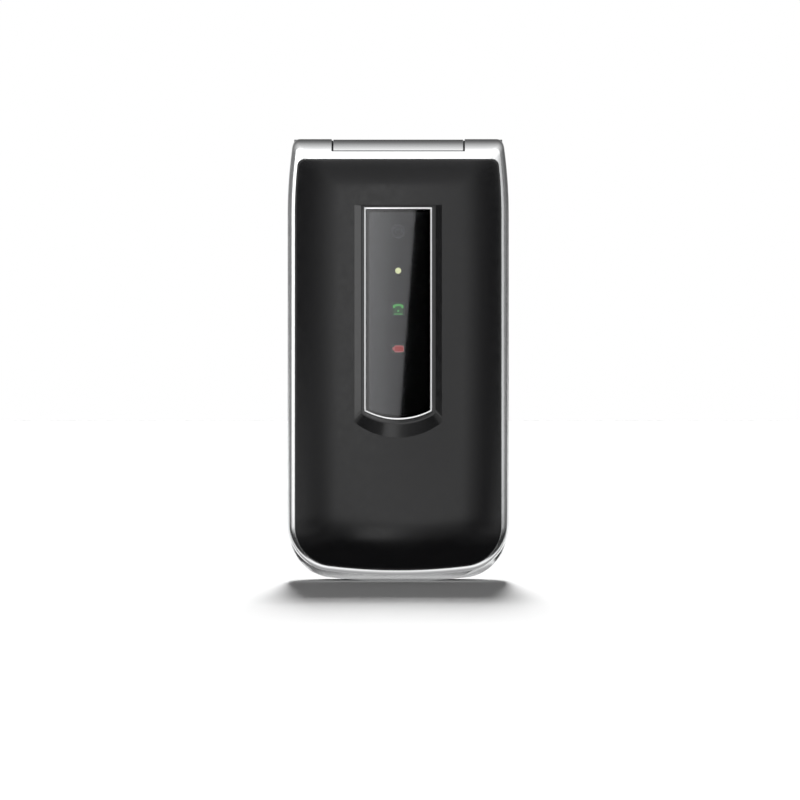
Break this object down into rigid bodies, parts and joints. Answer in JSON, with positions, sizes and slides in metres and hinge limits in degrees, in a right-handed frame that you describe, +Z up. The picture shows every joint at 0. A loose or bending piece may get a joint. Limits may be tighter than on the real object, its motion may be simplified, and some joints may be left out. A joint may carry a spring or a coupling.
{
  "type": "flip phone",
  "caption": "Clamshell phone with a crowned black lid in a silver frame, a raised smoked window, a barrel hinge, a keypad inside and a lift-off battery cover.",
  "frame": {"origin": "centre of the closed phone's box on the surface it stands on, at its lower end", "axes": "+Z up the phone towards the hinge, -Y out of the lid's front, +X to the right seen from the front"},
  "size_m": [0.052, 0.0192, 0.104],
  "materials": {
    "frame_silver": "satin silver lacquer",
    "panel_black": "satin black lacquer",
    "bezel_black": "gloss black",
    "trim_chrome": "polished",
    "smoked_lens": "polished smoked window",
    "camera_black": "matte",
    "camera_glass": "coated",
    "lamp_pale": "lit light guide",
    "lamp_green": "lit light guide",
    "lamp_red": "lit light guide",
    "board_green": "solder mask",
    "display_dark": "display module",
    "display_glass": "polished",
    "inner_black": "fine texture",
    "base_black": "soft satin",
    "part_dark": "matte",
    "mesh_steel": "woven mesh",
    "steel": "turned",
    "screw_steel": "blackened",
    "bronze": "sintered",
    "rubber_black": "matte",
    "mat_grey": "translucent silicone",
    "shield_tin": "tinned",
    "contact_gold": "gold plated",
    "battery_wrap": "printed wrap",
    "key_light": "backlit key",
    "key_silver": "satin",
    "key_green": "satin",
    "key_red": "satin"
  },
  "bodies": {
    "base": {"base_front_cover": "base_black", "base_rear_cover": "base_black", "hinge_cartridge": "steel", "hinge_bush": "bronze", "key_mat": "mat_grey", "main_board": "board_green", "board_shield": "shield_tin", "sim_socket": "shield_tin", "battery": "battery_wrap", "battery_contacts": "contact_gold", "loudspeaker": "part_dark", "microphone": "shield_tin", "vibration_motor": "steel", "antenna": "part_dark", "usb_socket": "steel", "headset_jack": "part_dark", "charging_contacts": "contact_gold", "base_screws": "screw_steel"},
    "lid": {"lid_frame": "frame_silver", "lid_panel": "panel_black", "window_bezel": "bezel_black", "window_trim": "trim_chrome", "window_lens": "smoked_lens", "camera_module": "camera_black", "camera_lens": "camera_glass", "dot_lamp": "lamp_pale", "call_lamp": "lamp_green", "battery_lamp": "lamp_red", "lid_board": "board_green", "display_panel": "display_dark", "display_lens": "display_glass", "lid_inner_cover": "inner_black", "earpiece": "part_dark", "earpiece_mesh": "mesh_steel", "closing_magnet": "steel", "lid_bumpers": "rubber_black", "lid_screws": "screw_steel", "hinge_shaft": "steel", "hinge_pin": "steel"},
    "key_1": {"key_1": "key_light"},
    "key_2": {"key_2": "key_light"},
    "key_3": {"key_3": "key_light"},
    "key_4": {"key_4": "key_light"},
    "key_5": {"key_5": "key_light"},
    "key_6": {"key_6": "key_light"},
    "key_7": {"key_7": "key_light"},
    "key_8": {"key_8": "key_light"},
    "key_9": {"key_9": "key_light"},
    "key_star": {"key_star": "key_light"},
    "key_0": {"key_0": "key_light"},
    "key_hash": {"key_hash": "key_light"},
    "soft_key_left": {"soft_key_left": "key_silver"},
    "soft_key_right": {"soft_key_right": "key_silver"},
    "call_key": {"call_key": "key_green"},
    "end_key": {"end_key": "key_red"},
    "ok_key": {"ok_key": "key_light"},
    "nav_ring": {"nav_ring": "key_silver"},
    "volume_rocker": {"volume_rocker": "key_silver"},
    "assist_button": {"assist_button": "key_red"},
    "battery_cover": {"battery_cover": "base_black"}
  },
  "joints": [
    {"name": "lid_hinge", "type": "hinge", "parent": "base", "child": "lid", "pos_m": [0, -0.0019, 0.0994], "axis": [-1, 0, 0], "range_deg": [0, 160]},
    {"name": "key_1_press", "type": "slide", "parent": "base", "child": "key_1", "axis": [0, 1, 0], "range_m": [0, 0.0004], "stiffness_N_per_m": 1500},
    {"name": "key_2_press", "type": "slide", "parent": "base", "child": "key_2", "axis": [0, 1, 0], "range_m": [0, 0.0004], "stiffness_N_per_m": 1500},
    {"name": "key_3_press", "type": "slide", "parent": "base", "child": "key_3", "axis": [0, 1, 0], "range_m": [0, 0.0004], "stiffness_N_per_m": 1500},
    {"name": "key_4_press", "type": "slide", "parent": "base", "child": "key_4", "axis": [0, 1, 0], "range_m": [0, 0.0004], "stiffness_N_per_m": 1500},
    {"name": "key_5_press", "type": "slide", "parent": "base", "child": "key_5", "axis": [0, 1, 0], "range_m": [0, 0.0004], "stiffness_N_per_m": 1500},
    {"name": "key_6_press", "type": "slide", "parent": "base", "child": "key_6", "axis": [0, 1, 0], "range_m": [0, 0.0004], "stiffness_N_per_m": 1500},
    {"name": "key_7_press", "type": "slide", "parent": "base", "child": "key_7", "axis": [0, 1, 0], "range_m": [0, 0.0004], "stiffness_N_per_m": 1500},
    {"name": "key_8_press", "type": "slide", "parent": "base", "child": "key_8", "axis": [0, 1, 0], "range_m": [0, 0.0004], "stiffness_N_per_m": 1500},
    {"name": "key_9_press", "type": "slide", "parent": "base", "child": "key_9", "axis": [0, 1, 0], "range_m": [0, 0.0004], "stiffness_N_per_m": 1500},
    {"name": "key_star_press", "type": "slide", "parent": "base", "child": "key_star", "axis": [0, 1, 0], "range_m": [0, 0.0004], "stiffness_N_per_m": 1500},
    {"name": "key_0_press", "type": "slide", "parent": "base", "child": "key_0", "axis": [0, 1, 0], "range_m": [0, 0.0004], "stiffness_N_per_m": 1500},
    {"name": "key_hash_press", "type": "slide", "parent": "base", "child": "key_hash", "axis": [0, 1, 0], "range_m": [0, 0.0004], "stiffness_N_per_m": 1500},
    {"name": "soft_key_left_press", "type": "slide", "parent": "base", "child": "soft_key_left", "axis": [0, 1, 0], "range_m": [0, 0.0004], "stiffness_N_per_m": 1500},
    {"name": "soft_key_right_press", "type": "slide", "parent": "base", "child": "soft_key_right", "axis": [0, 1, 0], "range_m": [0, 0.0004], "stiffness_N_per_m": 1500},
    {"name": "call_key_press", "type": "slide", "parent": "base", "child": "call_key", "axis": [0, 1, 0], "range_m": [0, 0.0004], "stiffness_N_per_m": 1500},
    {"name": "end_key_press", "type": "slide", "parent": "base", "child": "end_key", "axis": [0, 1, 0], "range_m": [0, 0.0004], "stiffness_N_per_m": 1500},
    {"name": "ok_key_press", "type": "slide", "parent": "base", "child": "ok_key", "axis": [0, 1, 0], "range_m": [0, 0.0004], "stiffness_N_per_m": 1500},
    {"name": "nav_tilt", "type": "hinge", "parent": "base", "child": "nav_ring", "pos_m": [0, 0.0013, 0.0758], "axis": [1, 0, 0], "range_deg": [-2, 2], "stiffness_Nm_per_rad": 0.1},
    {"name": "volume_tilt", "type": "hinge", "parent": "base", "child": "volume_rocker", "pos_m": [0.0238, 0.0048, 0.064], "axis": [0, 1, 0], "range_deg": [-1.5, 1.5], "stiffness_Nm_per_rad": 0.1},
    {"name": "assist_press", "type": "slide", "parent": "base", "child": "assist_button", "axis": [0, -1, 0], "range_m": [0, 0.0004], "stiffness_N_per_m": 1500},
    {"name": "battery_cover_lift", "type": "slide", "parent": "base", "child": "battery_cover", "axis": [0, 1, 0], "range_m": [0, 0.012]}
  ]
}
